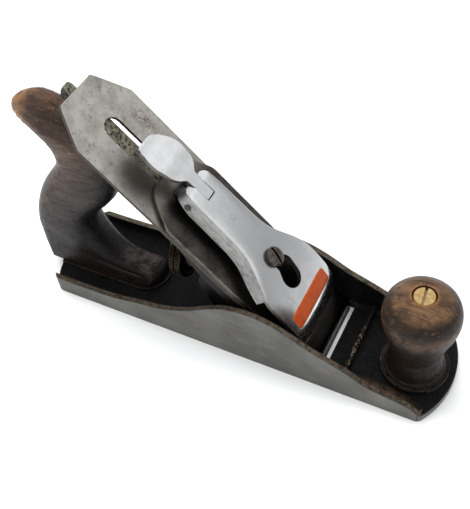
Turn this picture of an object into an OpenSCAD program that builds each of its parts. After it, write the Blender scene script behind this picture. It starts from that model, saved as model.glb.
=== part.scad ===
// Bench smoothing plane: an iron casting with a 45 degree frog, a two-piece iron held down by
// a cam-locked lever cap, and a wooden tote and knob.
// +X points to the toe, +Y to the left cheek, +Z up. The origin is the middle of the sole's face.

/* [Sole and cheeks] */
// Length of the sole from heel to toe
sole_l = 248; // [236:1:270]
// Width of the sole across both cheeks
sole_w = 60.5; // [59:0.5:66]
// Thickness of the floor above the sole's face
floor_t = 4.5; // [3.5:0.25:5.5]
// Thickness of each cheek
cheek_t = 3.2; // [2:0.1:3.6]
// Height of the cheeks at their peak
cheek_h = 42.2; // [36:0.5:48]
// Height of the cheeks at the heel and the toe
cheek_low = 12; // [9:0.5:14]
// How far the middle of each end bows out past its corners
end_bow = 9.8; // [6:0.2:13]
// Radius of the upright edge at each corner of the sole
corner_r = 4.5; // [2:0.5:7]
// Distance from the toe back to the cutting edge
edge_back = 68.6; // [66:0.2:74]
// Clear gap in the sole ahead of the cutting edge
mouth_gap = 2.8; // [2:0.1:3.5]
// Height of the stiffening rib across the floor ahead of the mouth
rib_h = 4.5; // [2:0.25:7]

/* [Cutter] */
// Length of the cutter along its slope
cutter_l = 197.5; // [190:0.5:205]
// Gap between each side of the cutter and the cheek beside it
cutter_side_gap = 1.65; // [1.35:0.05:3.5]
// Thickness of the cutter
cutter_t = 2; // [1.6:0.1:2.4]
// Length of the clipped shoulders at the cutter's top end
shoulder_l = 20; // [14:1:24]
// Width left between the shoulders at the top edge
top_w = 27; // [22:1:34]
// Width of the cutter's long slot
slot_w = 12; // [10.6:0.1:12.5]
// Diameter of the round hole at the slot's lower end
keyhole_d = 18.5; // [16.5:0.5:20]

/* [Cap iron] */
// Length of the cap iron along its slope
cap_iron_l = 134.5; // [128:0.5:142]
// Thickness of the cap iron
cap_iron_t = 2.8; // [2.2:0.1:3]
// Height of the hump near the cap iron's front edge
hump_h = 6.3; // [4.5:0.1:6.6]
// Diameter of the cap-iron screw's head
cap_screw_head_d = 15; // [13:0.5:16]
// Diameter of the cap-iron screw's thread
cap_screw_d = 7.9; // [6:0.1:8]

/* [Lever cap] */
// How far each side of the lever cap's nose lies inside the cutter's edge
nose_inset = 1.2; // [0.4:0.1:3.4]
// Half width of the narrow bar at the cam end
bar_half = 11; // [10:0.1:12.5]
// Height of the lever cap's top face above the cutter
cap_top = 16.5; // [16:0.1:18]
// Thickness of the lever cap's top wall
cap_wall = 3.2; // [2.6:0.1:3.8]
// Radius of the large end of the kidney-shaped hole
kidney_r = 6.9; // [6.7:0.05:7.4]
// Diameter of the lever-cap screw's head
lever_screw_head_d = 10.8; // [9:0.2:13]
// Diameter of the lever-cap screw's thread
lever_screw_d = 6.2; // [5:0.1:6.6]
// Diameter of the cam pin
cam_pin_d = 4; // [3:0.1:4.4]
// Half width of the thumb pad on the cam lever
pad_half = 9.2; // [7:0.2:11]
// Length of the cam lever from its pin to the end of its pad
pad_reach = 36.5; // [32:0.5:42]

/* [Frog and adjusters] */
// How far each side of the frog's bed lies inside the cutter's edge
frog_inset = 0.9; // [0.4:0.1:2.4]
// Length of the frog's bed along its slope
frog_l = 122; // [121:0.5:124]
// Diameter of the depth wheel
wheel_d = 33; // [28:0.5:34]
// Thickness of the depth wheel's knurled rim
rim_t = 6.5; // [5.5:0.1:7.5]
// Height of the depth wheel's axis above the sole's face
wheel_z = 42; // [40.5:0.1:43]
// Diameter of the threaded stud that carries the depth wheel
stud_d = 7.1; // [5:0.1:7.6]
// Width of the lateral lever's bar
lateral_w = 7.8; // [6:0.1:9]
// Thickness of the lateral lever's bar
lateral_t = 2.1; // [1.5:0.1:2.6]
// Diameter of the two bolts that hold the frog down
frog_bolt_d = 6; // [5:0.1:6.5]
// Diameter of the screw that shifts the frog
shift_screw_d = 5; // [4:0.1:5.6]

/* [Tote and knob] */
// Thickness of the tote
tote_t = 24; // [22:0.2:26]
// Distance from the cutting edge back to the toe of the tote
tote_behind = 108.9; // [106:0.1:112]
// Radius to which the grip's long edges are rounded
grip_r = 9.5; // [5:0.1:9.8]
// Diameter of the knob's ball
ball_d = 40.7; // [39:0.1:43]
// Height of the knob's top above the sole's face
knob_z = 66.2; // [63:0.2:70]
// Distance from the toe back to the knob's axis
knob_back = 22; // [21:0.1:24]
// Diameter of the knob at its foot
knob_foot_d = 33.2; // [31:0.2:36]
// Diameter of the knob and tote bolts
rod_d = 5.6; // [4.6:0.1:6]
// Diameter of the brass nuts' slotted heads
nut_d = 12; // [11:0.1:14]

/* [Clearances] */
// Gap round a part that turns or slides on a pin, a thread or a stud
run_gap = 0.05; // [0.02:0.01:0.08]
// Gap between pieces that lie close without touching
free_gap = 0.3; // [0.25:0.05:0.4]

/* [Hidden] */
$fn = 48;
half_root = sqrt(0.5);
edge_x = sole_l / 2 - edge_back;

// A smooth curve through a list of points, each of any number of coordinates.
function blend(a, b, c, d, t) =
    ((2 * b) + (c - a) * t + (2 * a - 5 * b + 4 * c - d) * t * t + (3 * b - a - 3 * c + d) * t * t * t) / 2;
function smooth(p, n) = concat(
    [for (i = [0 : len(p) - 2]) for (j = [0 : n - 1])
        blend(p[max(i - 1, 0)], p[i], p[i + 1], p[min(i + 2, len(p) - 1)], j / n)],
    [p[len(p) - 1]]);
// Points of an arc about (x, y) from angle a0 to a1.
function arc(x, y, r, a0, a1, n) = [for (i = [0 : n]) let (a = a0 + (a1 - a0) * i / n) [x + r * cos(a),
    y + r * sin(a)]];
// Mirror image of a list of points in the X axis, in reverse order.
function mirrored(p) = [for (i = [len(p) - 1 : -1 : 0]) [p[i][0], -p[i][1]]];
// Value at s of a curve given as rows [s, value] with rising s.
function at(rows, s, i = 0) =
    s <= rows[0][0] ? rows[0][1] :
    i >= len(rows) - 1 ? rows[len(rows) - 1][1] :
    s <= rows[i + 1][0] ? rows[i][1] + (rows[i + 1][1] - rows[i][1]) * (s - rows[i][0]) / (rows[i
        + 1][0] - rows[i][0]) :
    at(rows, s, i + 1);

// Puts a shape drawn with X up the bed, Z square off the bed and zero at the cutting edge in place.
module on_bed() translate([edge_x, 0, 0]) rotate([0, 45, 0]) rotate([0, 0, 180]) children();
// The side-view point at distance s up the bed and height h off the cutter's upper face.
function bed_point(s, h) = [edge_x + (h - s) * half_root, (s + h) * half_root];
// Extrudes a side view, drawn as X and Z, across the plane by width w.
module across(w, y = 0) translate([0, y + w / 2, 0]) rotate([90, 0, 0]) linear_extrude(w) children();
// A round bar across the plane at (x, z).
module cross_bar(x, z, r, w, y = 0) translate([x, y, z]) rotate([90, 0, 0]) cylinder(r = r, h = w,
    center = true);
// A slot with round ends along X, from x0 to x1.
module slot2d(x0, x1, w) {
    translate([x0, -w / 2]) square([x1 - x0, w]);
    translate([x0, 0]) circle(d = w);
    translate([x1, 0]) circle(d = w);
}

inner_w = sole_w - 2 * cheek_t;
cutter_w = inner_w - 2 * cutter_side_gap;
frog_w = cutter_w - 2 * frog_inset;
nose_half = cutter_w / 2 - nose_inset;
bed_back = -cutter_t;
cut_edge_s = 0.5;

// Side view of the cheeks: rows are [distance from the peak, share of the rise above the low ends].
peak_x = edge_x - 38;
cheek_rows = [[-90, 0.02], [-71, 0.14], [-57, 0.22], [-40, 0.44], [-24, 0.77], [-13, 0.94], [0, 1],
    [11, 0.95], [22, 0.81], [35, 0.58], [48, 0.41], [57, 0.28], [67, 0.1], [78, 0.02]];
cheek_line = smooth(concat(
    [[-sole_l / 2 - 2, cheek_low], [-sole_l / 2 + 26, cheek_low - 0.4]],
    [for (r = cheek_rows) [peak_x + r[0], cheek_low + r[1] * (cheek_h - cheek_low)]],
    [[sole_l / 2 - 19, cheek_low - 1], [sole_l / 2 - 13, cheek_low - 4], [sole_l / 2 - 9.5, floor_t]]), 4);

// Half plan of the sole, from the heel's middle round the -Y side to the toe's middle.
half_w = sole_w / 2;
bow_r = (half_w * half_w + end_bow * end_bow) / (2 * end_bow);
bow_a = asin((half_w - corner_r) / (bow_r - corner_r));
corner_x = sole_l / 2 - bow_r + (bow_r - corner_r) * cos(bow_a);
toe_half = concat(
    arc(corner_x, half_w - corner_r, corner_r, 90, bow_a, 6),
    arc(sole_l / 2 - bow_r, 0, bow_r, bow_a, 0, 8));
sole_plan = concat(
    [for (p = toe_half) p], [for (i = [len(toe_half) - 2 : -1 : 0]) [toe_half[i][0], -toe_half[i][1]]],
    [for (p = toe_half) [-p[0], -p[1]]], [for (i = [len(toe_half) - 2 : -1 : 0]) [-toe_half[i][0],
        toe_half[i][1]]]);

// The frog's seats on the floor and the screw that shifts it.
front_seat_z = floor_t + 2.5;
rear_seat_z = floor_t + 8.5;
seat_rear_x = edge_x - 59.4;
seat_front_x = edge_x - 24;
seat_w = 36;
shift_z = floor_t + 5.5;
bolt_x = edge_x - 41.4;
bolt_y = 13;
mouth_back_x = edge_x - 4.8;
frog_back = 1.5;
frog_ahead = 1;

// The tote's and knob's seats and bolts.
knob_x = sole_l / 2 - knob_back;
knob_seat_z = floor_t + 1;
ring_r = knob_foot_d / 2 + free_gap;
tote_seat_z = floor_t + 1.5;
tote_seat_half = tote_t / 2 + 1.8;
tote_toe_x = edge_x - tote_behind;
// The tote's side view is drawn for a foot 70.5 long and stretched to the room that the sole leaves it.
tote_k = (tote_toe_x + sole_l / 2) / 70.5;
drawn_lean = 76;
tote_lean = atan(tan(drawn_lean) / tote_k);
tote_bolt_x = -sole_l / 2 + 10.5 * tote_k;
module along_tote_bolt() translate([tote_bolt_x, 0, tote_seat_z]) rotate([0, 90 - tote_lean, 0]) children();

module body() color("dimgray") difference() {
    union() {
        intersection() {
            linear_extrude(cheek_h + 1) polygon(sole_plan);
            difference() {
                across(sole_w + 2) polygon(concat(
                    [[sole_l / 2 + 2, floor_t], [sole_l / 2 + 2, 0], [-sole_l / 2 - 2, 0]], cheek_line));
                cheek_trough();
            }
        }
        intersection() {
            linear_extrude(cheek_h) polygon(sole_plan);
            union() {
                across(seat_w) polygon([[seat_rear_x, 1], [seat_rear_x, rear_seat_z],
                    [seat_front_x, rear_seat_z], [seat_front_x, 1]]);
                across(inner_w + 1) polygon([[seat_front_x - 1, 1], [seat_front_x - 1, front_seat_z],
                    [mouth_back_x - front_seat_z, front_seat_z], [mouth_back_x - 1, 1]]);
                floor_rib();
                tote_seat();
                translate([knob_x, 0, 1]) cylinder(r = ring_r + 1.7, h = floor_t + 1.8, $fn = 96);
            }
        }
    }
    mouth();
    translate([knob_x, 0, knob_seat_z]) cylinder(r = ring_r, h = 10, $fn = 96);
    translate([knob_x, 0, 1.2]) cylinder(d = rod_d + 2 * run_gap, h = 10);
    along_tote_bolt() translate([0, 0, -4.2]) cylinder(d = rod_d + 2 * run_gap, h = 12);
    for (y = [-bolt_y, bolt_y]) translate([bolt_x, y, 2]) cylinder(d = frog_bolt_d + 2 * run_gap, h = 20);
    translate([seat_rear_x - 1, 0, shift_z]) rotate([0, 90, 0])
        cylinder(d = shift_screw_d + 2 * run_gap, h = 19);
}
// The space between the cheeks, with a round fillet where they meet the floor.
fillet_r = 3.5;
module cheek_trough() rotate([90, 0, 90]) linear_extrude(sole_l + 8, center = true) polygon(concat(
    arc(inner_w / 2 - fillet_r, floor_t + fillet_r, fillet_r, 0, -90, 5),
    arc(-inner_w / 2 + fillet_r, floor_t + fillet_r, fillet_r, -90, -180, 5),
    [[-inner_w / 2, cheek_h + 5], [inner_w / 2, cheek_h + 5]]));
// The slot through the sole: sloped behind to clear the cutter, upright ahead of it.
module mouth() across(cutter_w + 2.4) polygon([[mouth_back_x + 1, -1], [edge_x + mouth_gap, -1],
    [edge_x + mouth_gap, floor_t + 1], [mouth_back_x - floor_t - 1, floor_t + 1]]);
rib_x = edge_x + 14;
rib_t = 2.6;
module floor_rib() across(inner_w + 1) polygon(concat(
    [[rib_x - rib_t / 2 - 1.2, 1]], [[rib_x - rib_t / 2, floor_t + 0.8]],
    arc(rib_x, floor_t + rib_h - rib_t / 2, rib_t / 2, 180, 0, 6),
    [[rib_x + rib_t / 2, floor_t + 0.8]], [[rib_x + rib_t / 2 + 1.2, 1]]));
module tote_seat() translate([0, 0, 1]) linear_extrude(tote_seat_z - 1) union() {
    translate([-sole_l / 2 - 1, -tote_seat_half]) square([tote_toe_x - tote_seat_half + sole_l / 2 + 1.5,
        2 * tote_seat_half]);
    translate([tote_toe_x - tote_seat_half + 0.5, 0]) circle(r = tote_seat_half, $fn = 64);
}

// Distances up the bed from the cutting edge to what sits on it.
lever_screw_s = 66;
cap_screw_s = 80.5;
y_slot_s = 90;
disc_s = 103;
lateral_pin_s = 114.5;
bed_film = 0.02;
iron_up = 2.4;
iron_down = 1;
bed_x = edge_x - (cutter_t + bed_film) / half_root;
frog_wall = 6.5;
frog_rear_x = seat_rear_x - 4;
bed_wall_x = bed_x - frog_wall / half_root;
pivot_x = edge_x - 79.4;
pivot_z = wheel_z + 18;
pivot_hub_r = 3.7;
y_pin_d = 3.2;
y_lever_t = 5.6;
rib_back_x = edge_x - 74.9;
collar_x = edge_x - 78.9;
collar_t = 2;
groove_w = 5.5;
rim_front_x = collar_x - collar_t - groove_w;
frog_foot_x = bed_x - front_seat_z;
frog_top_x = edge_x - (frog_l - bed_back) * half_root;
frog_top_z = (frog_l + bed_back) * half_root;
frog_shelf_z = rear_seat_z + 5;
frog_rib_t = 16;
lateral_under = -lateral_t - cutter_t - 0.1;

// Side view of the frog's sloping plate and of its foot.
module frog_plate2d() polygon([[frog_foot_x, front_seat_z], [frog_top_x, frog_top_z],
    [frog_top_x - frog_wall * half_root, frog_top_z - frog_wall * half_root],
    [bed_wall_x - rear_seat_z - 12, rear_seat_z + 12], [frog_rear_x, rear_seat_z + 9], [frog_rear_x,
        rear_seat_z],
    [seat_front_x + 0.6 + frog_ahead, rear_seat_z], [seat_front_x + 0.6 + frog_ahead, front_seat_z]]);
// Side view of the thick middle rib that carries the pivot of the Y lever and the wheel's stud.
module frog_rib2d() {
    polygon([[bed_x - rear_seat_z - 6, rear_seat_z], [frog_rear_x, rear_seat_z],
        [frog_rear_x, rear_seat_z + 12], [rib_back_x, wheel_z - 8], [rib_back_x, wheel_z + 8],
        [pivot_x + 0.5, pivot_z - pivot_hub_r], [pivot_x - pivot_hub_r, pivot_z],
        [pivot_x - pivot_hub_r, pivot_z + 2], [bed_wall_x - pivot_z - 9, pivot_z + 9],
        [bed_x - pivot_z - 6, pivot_z + 2]]);
    translate([pivot_x, pivot_z]) circle(r = pivot_hub_r);
}
module frog() color("#2c2c2e") difference() {
    union() {
        intersection() {
            across(frog_w) frog_plate2d();
            on_bed() translate([0, 0, -100]) linear_extrude(120) frog_face();
        }
        for (y = [-frog_w / 2 + 6.5, frog_w / 2 - 6.5]) across(4, y) polygon([
            [bed_wall_x - rear_seat_z - 8, rear_seat_z + 1], [frog_rear_x, rear_seat_z + 1],
            [frog_rear_x, rear_seat_z + 9], [rib_back_x + 3, wheel_z],
            [bed_wall_x - wheel_z - 14, wheel_z + 14], [bed_wall_x - wheel_z + 3, wheel_z]]);
        across(frog_rib_t) frog_rib2d();
        translate([rib_back_x, 0, wheel_z]) rotate([0, 90, 0]) cylinder(r = 7.5, h = 14);
    }
    for (y = [-bolt_y, bolt_y]) frog_bolt_well(y);
    frog_hollow();
    on_bed() {
        translate([lever_screw_s, 0, -18]) cylinder(d = lever_screw_d + 2 * run_gap, h = 30);
        translate([0, 0, -7]) linear_extrude(20)
            slot2d(cap_screw_s - iron_down, cap_screw_s + iron_up, cap_screw_head_d + 1.2);
        lateral_recess();
        translate([lateral_pin_s, 0, -6.4]) cylinder(d = 3.4 + 2 * run_gap, h = 10);
    }
    y_lever_room();
    cross_bar(pivot_x, pivot_z, y_pin_d / 2 + run_gap, frog_rib_t + 2);
    translate([rib_back_x - 1, 0, wheel_z]) rotate([0, 90, 0]) cylinder(d = stud_d + 2 * run_gap, h = 13);
    translate([frog_rear_x - 1, 0, rear_seat_z + 5]) rotate([0, 90, 0]) cylinder(d = 4 + 2 * run_gap, h = 9);
}
// Front view of the frog's bed: straight sides, then shoulders drawn in to a rounded top.
module frog_face() polygon(concat(
    [[-20, -frog_w / 2]], [[frog_l - 40, -frog_w / 2]],
    smooth([[frog_l - 26, -frog_w / 2 + 1.6], [frog_l - 12, -frog_w / 2 + 5], [frog_l - 3,
        -frog_w / 2 + 9], [frog_l, -frog_w / 2 + 15]], 4),
    smooth([[frog_l, frog_w / 2 - 15], [frog_l - 3, frog_w / 2 - 9], [frog_l - 12, frog_w / 2 - 5],
        [frog_l - 26, frog_w / 2 - 1.6]], 4),
    [[frog_l - 40, frog_w / 2]], [[-20, frog_w / 2]]));
// A well down to the shelf for one bolt and its washer, and the long hole in which the frog shifts.
well_r = 8;
module frog_bolt_well(y) {
    translate([bolt_x, y, frog_shelf_z]) cylinder(r = well_r, h = 40);
    translate([bolt_x, y - well_r, frog_shelf_z]) cube([well_r + 6, 2 * well_r, 40]);
    translate([bolt_x, y, rear_seat_z - 2]) linear_extrude(12)
        slot2d(-frog_ahead - 0.2, frog_back + 0.2, frog_bolt_d + 0.6);
}
// The open space behind the bed on each side of the middle rib.
module frog_hollow() for (y = [-1, 1]) across(9, y * (frog_rib_t / 2 + 5.2)) polygon([
    [bed_wall_x - frog_shelf_z - 2, frog_shelf_z], [frog_rear_x - 9, frog_shelf_z], [frog_rear_x - 9,
        rear_seat_z + 30],
    [bed_wall_x - rear_seat_z - 30, rear_seat_z + 30]]);
// The shallow bed for the lateral lever, wide enough for its swing.
lateral_swing = 8.5;
module lateral_recess() translate([0, 0, lateral_under - 0.1]) linear_extrude(20) union() {
    for (a = [-lateral_swing, -lateral_swing / 2, 0, lateral_swing / 2, lateral_swing])
        translate([lateral_pin_s, 0]) rotate(a) {
            translate([-(lateral_pin_s - disc_s), 0]) circle(d = lateral_w + 0.8);
            translate([-(lateral_pin_s - disc_s), -lateral_w / 2 - 0.4]) square([40, lateral_w + 0.8]);
        }
}
// Room for the Y lever, from the slot in the bed back past its pivot.
module y_lever_room() {
    across(y_lever_t + 0.6) polygon([[pivot_x - 30, pivot_z - 9], [rib_back_x - 0.1, pivot_z - 9],
        [pivot_x + 8, pivot_z - 4], [edge_x - 55.5, 58.5], [edge_x - 62, 71], [pivot_x - 4.5, pivot_z + 15],
        [pivot_x - 30, pivot_z + 15]]);
    cross_bar(pivot_x, pivot_z, pivot_hub_r + 1, y_lever_t + 0.6);
}
washer_t = 1.5;
module frog_washers() color("#55534f") for (y = [-bolt_y, bolt_y])
    translate([bolt_x, y, frog_shelf_z]) difference() {
        cylinder(d = 12.4, h = washer_t);
        translate([0, 0, -1]) cylinder(d = frog_bolt_d + 2 * run_gap, h = washer_t + 2);
    }
module frog_bolts() color("#6a6761") for (y = [-bolt_y, bolt_y]) translate([bolt_x, y, 0]) difference() {
    union() {
        translate([0, 0, 2.6]) cylinder(d = frog_bolt_d, h = frog_shelf_z + washer_t - 2.6);
        translate([0, 0, frog_shelf_z + washer_t]) slotted_head(11, 4.6);
    }
    translate([0, 0, frog_shelf_z + washer_t + 3.2]) rotate(35) cube([14, 1.4, 4], center = true);
}
// A round screw head with a domed top, standing on z = 0.
module slotted_head(d, h) rotate_extrude() polygon(concat(
    [[0, 0], [d / 2 - 0.3, 0], [d / 2, 0.3]], smooth([[d / 2, h * 0.6], [d * 0.4, h * 0.86], [d * 0.22,
        h * 0.97], [0, h]], 3)));

// The clip hangs from the frog's rear face and its notch holds the neck of the shifting screw.
clip_t = 2;
neck_r = 1.9;
shift_head_d = 8.6;
module frog_clip() color("#4b4a48") difference() {
    across(12) polygon([[frog_rear_x, floor_t + 1.4], [frog_rear_x, rear_seat_z + 8.6],
        [frog_rear_x - clip_t, rear_seat_z + 8.6], [frog_rear_x - clip_t, floor_t + 1.4]]);
    translate([frog_rear_x - 5, 0, shift_z]) rotate([0, 90, 0]) cylinder(r = neck_r + free_gap, h = 8);
    translate([frog_rear_x - 5, -neck_r - free_gap, 0]) cube([8, 2 * (neck_r + free_gap), shift_z]);
    translate([frog_rear_x - 5, 0, rear_seat_z + 5]) rotate([0, 90, 0]) cylinder(d = 4 + 2 * run_gap, h = 8);
}
module frog_clip_screw() color("#6a6761") translate([frog_rear_x - clip_t, 0, rear_seat_z + 5]) difference() {
    union() {
        rotate([0, 90, 0]) cylinder(d = 4, h = clip_t + 7.4);
        rotate([0, -90, 0]) slotted_head(6.8, 2.2);
    }
    translate([-2.2, 0, 0]) cube([1.6, 10, 1], center = true);
}
module frog_shift_screw() color("#b08d4f") translate([frog_rear_x, 0, shift_z]) rotate([0, 90,
    0]) difference() {
    union() {
        translate([0, 0, 1.6]) cylinder(d = shift_screw_d, h = 18);
        translate([0, 0, free_gap]) cylinder(r = 2.85, h = 1.4);
        translate([0, 0, -clip_t - 1]) cylinder(r = neck_r, h = clip_t + 2);
        translate([0, 0, -clip_t - free_gap]) rotate([180, 0, 0]) slotted_head(shift_head_d, 5);
    }
    translate([0, 0, -clip_t - 5.2]) cube([1.2, 12, 3], center = true);
}

// The Y lever: a nose through the bed into the cap iron, a hub on its pin and a fork on the wheel.
fork_ball_r = 2.2;
wheel_hub_r = 5.5;
fork_y = wheel_hub_r + 2.3;
fork_x = rim_front_x + groove_w / 2;
module y_lever() color("#5d5a55") difference() {
    union() {
        across(y_lever_t) {
            translate([pivot_x, pivot_z]) circle(r = pivot_hub_r);
            polygon([[pivot_x - 2.6, pivot_z + 3], [pivot_x + 1.6, pivot_z - 3.6],
                bed_point(y_slot_s - 1.6, 0), bed_point(y_slot_s - 1.4, 1.8), bed_point(y_slot_s + 0.9, 2.2),
                bed_point(y_slot_s + 1.5, 0.6)]);
            polygon([[pivot_x - 3.4, pivot_z], [pivot_x + 2.5, pivot_z - 2.7], [fork_x + 3.2, pivot_z - 7.4],
                [fork_x + 0.9, pivot_z - 4.6]]);
        }
        across(2 * fork_y + 4) polygon([[fork_x + 1.2, pivot_z - 4.6], [fork_x + 3.6, pivot_z - 6.6],
            [fork_x + 2, pivot_z - 9], [fork_x - 0.2, pivot_z - 8]]);
        for (y = [-fork_y, fork_y]) {
            across(4, y) polygon([[fork_x - 1.2, wheel_z], [fork_x - 0.2, pivot_z - 8],
                [fork_x + 2.2, pivot_z - 8], [fork_x + 1.2, wheel_z]]);
            cross_bar(fork_x, wheel_z, fork_ball_r, 4, y);
        }
    }
    cross_bar(pivot_x, pivot_z, y_pin_d / 2 + run_gap, 20);
}
module y_lever_pin() color("#8d8a83") cross_bar(pivot_x, pivot_z, y_pin_d / 2, frog_rib_t - 0.4);
module adjust_stud() color("#77736b") translate([rim_front_x - rim_t - 6, 0, wheel_z]) rotate([0, 90, 0])
    cylinder(d = stud_d, h = rib_back_x + 11.4 - (rim_front_x - rim_t - 6));
// A brass wheel: knurled rim with a groove round it, a narrow hub for the fork and a small collar.
module depth_wheel() color("#b08d4f") translate([rim_front_x, 0, wheel_z]) rotate([0, 90, 0]) difference() {
    rotate_extrude($fn = 96) polygon([[0, groove_w + collar_t], [8.5, groove_w + collar_t], [8.5, groove_w],
        [wheel_hub_r, groove_w], [wheel_hub_r, 0], [wheel_d / 2 - 3, 0], [wheel_d / 2 - 2.4, 0.6],
        [wheel_d / 2 - 0.5, 0.6], [wheel_d / 2, 0.1], [wheel_d / 2, -rim_t / 2 + 0.7],
        [wheel_d / 2 - 0.8, -rim_t / 2], [wheel_d / 2, -rim_t / 2 - 0.7], [wheel_d / 2, 0.5 - rim_t],
        [wheel_d / 2 - 0.5, -rim_t], [wheel_d / 2 - 3, -rim_t], [wheel_d / 2 - 4.5, 1.4 - rim_t],
        [7, 1.4 - rim_t], [6, -rim_t], [0, -rim_t]]);
    translate([0, 0, -20]) cylinder(d = stud_d + 2 * run_gap, h = 40);
    for (i = [0 : 59]) rotate(i * 6) translate([wheel_d / 2 + 0.25, 0, -20])
        rotate(45) cube([0.9, 0.9, 60], center = true);
}

// Lateral lever with its rivet, the disc that rides in the cutter's slot, and the folded thumb tab.
lever_end_s = cutter_l + 6;
tab_rows = [[lever_end_s - 15, lateral_w / 2], [lever_end_s - 6, 3.2], [lever_end_s - 2.4, 3],
    [lever_end_s - 0.8, 2.4], [lever_end_s, 1.4]];
module tab_plan() polygon(concat(tab_rows, mirrored(tab_rows)));
module lateral_lever() color("#6f6d5c") on_bed() difference() {
    union() {
        translate([0, 0, lateral_under]) linear_extrude(lateral_t) union() {
            slot2d(disc_s, lever_end_s - 18, lateral_w);
            tab_plan();
            translate([lever_end_s - 18, -lateral_w / 2]) square([4, lateral_w]);
        }
        intersection() {
            translate([0, 0, lateral_under - 8]) linear_extrude(8 + lateral_t) tab_plan();
            across(lateral_w + 2) polygon([[lever_end_s - 12, lateral_under + 0.5],
                [lever_end_s - 9, lateral_under - 3.6], [lever_end_s - 5.4, lateral_under - 5],
                [lever_end_s - 2.4, lateral_under - 4.2], [lever_end_s - 0.7, lateral_under - 2],
                [lever_end_s, lateral_under], [lever_end_s, 0], [lever_end_s - 12, 0]]);
        }
    }
    translate([lateral_pin_s, 0, -20]) cylinder(d = 3.4 + 2 * run_gap, h = 30);
    translate([disc_s, 0, -20]) cylinder(d = 2.6 + 2 * run_gap, h = 30);
}
module lateral_pin() color("#8d8a83") on_bed() translate([lateral_pin_s, 0, -6.2]) cylinder(d = 3.4, h = 4);
module lateral_disc() color("#8d8a83") on_bed() translate([disc_s, 0, 0]) union() {
    translate([0, 0, bed_back + 0.1]) cylinder(d = slot_w - 0.6, h = cutter_t - 0.25);
    translate([0, 0, lateral_under]) cylinder(d = 2.6, h = 3);
}

// Plan of the cutter, drawn up the bed: square sides, then shoulders clipped to the top edge.
cutter_end = cut_edge_s + cutter_l;
module cutter_plan() polygon(concat(
    [[cut_edge_s, -cutter_w / 2]],
    smooth([[cutter_end - shoulder_l - 2, -cutter_w / 2], [cutter_end - shoulder_l + 1, -cutter_w / 2 + 0.9],
        [cutter_end - 2, -top_w / 2 - 1.2], [cutter_end, -top_w / 2 + 1.5]], 4),
    smooth([[cutter_end, top_w / 2 - 1.5], [cutter_end - 2, top_w / 2 + 1.2],
        [cutter_end - shoulder_l + 1, cutter_w / 2 - 0.9], [cutter_end - shoulder_l - 2, cutter_w / 2]], 4),
    [[cut_edge_s, cutter_w / 2]]));
keyhole_s = 52;
slot_top_s = cutter_end - 21;
module cutter() color("#b9b5ad") on_bed() difference() {
    intersection() {
        translate([0, 0, -cutter_t]) linear_extrude(cutter_t) cutter_plan();
        across(cutter_w + 2) polygon([[cut_edge_s, 0], [cut_edge_s + cutter_t * 2.14, -cutter_t],
            [cutter_end + 1, -cutter_t], [cutter_end + 1, 0]]);
    }
    translate([0, 0, -5]) linear_extrude(10) slot2d(keyhole_s, slot_top_s - slot_w / 2, slot_w);
    translate([keyhole_s, 0, -5]) cylinder(d = keyhole_d, h = 10);
}

// Side view of the cap iron: flat, then arched over the hump and down to its edge on the cutter.
cap_edge_s = cut_edge_s + 1.2;
cap_end = cap_edge_s + cap_iron_l;
cap_upper = smooth([[cap_edge_s + 0.5, 0.7], [cap_edge_s + 2.2, 2.6], [cap_edge_s + 5.5, hump_h - 1.3],
    [cap_edge_s + 10, hump_h - 0.1], [cap_edge_s + 14.5, hump_h], [cap_edge_s + 20, hump_h - 1.1],
    [cap_edge_s + 26, cap_iron_t + 0.7], [cap_edge_s + 32, cap_iron_t]], 3);
cap_lower = smooth([[cap_edge_s + 32, 0], [cap_edge_s + 26, 0.4], [cap_edge_s + 20, 1.6],
    [cap_edge_s + 14.5, hump_h - 2.7], [cap_edge_s + 10, hump_h - 2.7], [cap_edge_s + 5.5, hump_h - 3.6],
    [cap_edge_s + 2.6, 0.7], [cap_edge_s + 1.4, 0.02]], 3);
module cap_plan() polygon(concat(
    [[cap_edge_s, -cutter_w / 2 + 0.2]],
    smooth([[cap_end - 21, -cutter_w / 2 + 0.2], [cap_end - 17, -cutter_w / 2 + 1], [cap_end - 10,
        -cutter_w / 2 + 4.8],
        [cap_end - 3, -cutter_w / 2 + 9.6], [cap_end, -cutter_w / 2 + 14]], 4),
    smooth([[cap_end, cutter_w / 2 - 14], [cap_end - 3, cutter_w / 2 - 9.6], [cap_end - 10,
        cutter_w / 2 - 4.8],
        [cap_end - 17, cutter_w / 2 - 1], [cap_end - 21, cutter_w / 2 - 0.2]], 4),
    [[cap_edge_s, cutter_w / 2 - 0.2]]));
module cap_iron() color("#6e6963") on_bed() difference() {
    intersection() {
        across(cutter_w) polygon(concat([[cap_edge_s, 0.02]], cap_upper, [[cap_end + 1, cap_iron_t],
            [cap_end + 1, 0]], cap_lower));
        linear_extrude(hump_h + 1) cap_plan();
    }
    translate([0, 0, -1]) linear_extrude(cap_iron_t + 4) slot2d(lever_screw_s - 4, lever_screw_s + 2, slot_w);
    translate([cap_screw_s, 0, -1]) cylinder(d = cap_screw_d + 2 * run_gap, h = cap_iron_t + 4);
    translate([y_slot_s - 2.6, -y_lever_t / 2 - free_gap, -1]) cube([5.4, y_lever_t + 2 * free_gap,
        cap_iron_t + 4]);
}
module cap_iron_screw() color("#77736b") on_bed() translate([cap_screw_s, 0, 0]) difference() {
    union() {
        translate([0, 0, -cutter_t]) cylinder(d = cap_screw_d, h = cutter_t + cap_iron_t + 1);
        translate([0, 0, -cutter_t]) rotate([180, 0, 0]) slotted_head(cap_screw_head_d, 2.8);
    }
    translate([0, 0, -cutter_t - 2.8]) cube([2, 20, 2.4], center = true);
}

// The lever cap's top and sides, as rows [distance up the bed, value].
nose_s = cap_edge_s + 18;
cap_tail = lever_screw_s + 59.6;
cam_s = cap_tail - 7.1;
cam_h = cap_top - 5.5;
nose_low = hump_h + free_gap;
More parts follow.
